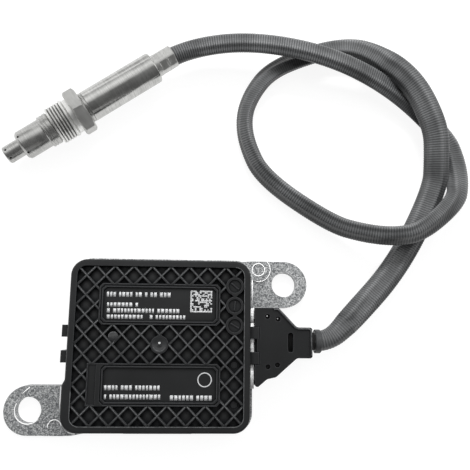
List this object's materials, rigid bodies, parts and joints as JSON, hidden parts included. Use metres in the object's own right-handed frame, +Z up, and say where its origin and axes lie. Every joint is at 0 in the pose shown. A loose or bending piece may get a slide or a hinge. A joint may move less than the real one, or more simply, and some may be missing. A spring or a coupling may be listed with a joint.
{
  "type": "nitrogen oxide sensor",
  "caption": "Nitrogen oxide sensor: threaded stainless exhaust probe on a looped sleeved lead, with a black ribbed control unit on a two-eared aluminium base.",
  "frame": {"origin": "midway between the two mounting holes, on the underside of the aluminium base", "axes": "+Z up along the mounting holes; +X along the control unit towards its lead outlet; +Y across it, towards the side where the probe lies"},
  "size_m": [0.2411, 0.2087, 0.0254],
  "materials": {
    "cast_alloy": "as-cast, speckled",
    "black_moulding": "fine moulded texture",
    "black_rubber": "matt",
    "hose_sleeve": "ribbed, satin",
    "stainless": "turned and polished",
    "zinc_steel": "plated",
    "board_laminate": "solder-masked",
    "chip_epoxy": "matt",
    "contact_brass": "tin-plated",
    "white_ceramic": "fired",
    "pad_silicone": "soft",
    "wire_insulation": "smooth"
  },
  "bodies": {
    "unit_and_probe": {"base_plate": "cast_alloy", "cover": "black_moulding", "cover_seal": "black_rubber", "circuit_board": "board_laminate", "board_screws": "zinc_steel", "thermal_pad": "pad_silicone", "microcontroller": "chip_epoxy", "driver_chips": "chip_epoxy", "capacitors": "zinc_steel", "power_coil": "chip_epoxy", "crystal": "zinc_steel", "chip_parts": "chip_epoxy", "connector_socket": "black_moulding", "connector_pins": "contact_brass", "lead_terminals": "contact_brass", "lead_wires": "wire_insulation", "outlet_upper": "black_moulding", "outlet_lower": "black_moulding", "wire_seal": "black_rubber", "hose_collar": "black_moulding", "hose": "hose_sleeve", "inner_protection_tube": "stainless", "outer_protection_tube": "stainless", "sensor_shell": "stainless", "thrust_ring": "stainless", "rear_sleeve": "stainless", "crimp_ferrule": "stainless", "rear_plug": "black_rubber", "sensing_element": "white_ceramic", "contact_holder": "white_ceramic", "holder_band": "zinc_steel", "contacts": "contact_brass", "sensor_wires": "wire_insulation", "front_bush": "white_ceramic", "powder_packing": "white_ceramic", "rear_bush": "white_ceramic", "packing_ring": "zinc_steel"},
    "fitting_nut": {"fitting_nut": "stainless"}
  },
  "joints": [
    {"name": "nut_turn", "type": "hinge", "parent": "unit_and_probe", "child": "fitting_nut", "pos_m": [-0.05221, 0.11156, 0.013], "axis": [0.8192, 0.5736, 0], "continuous": true}
  ]
}
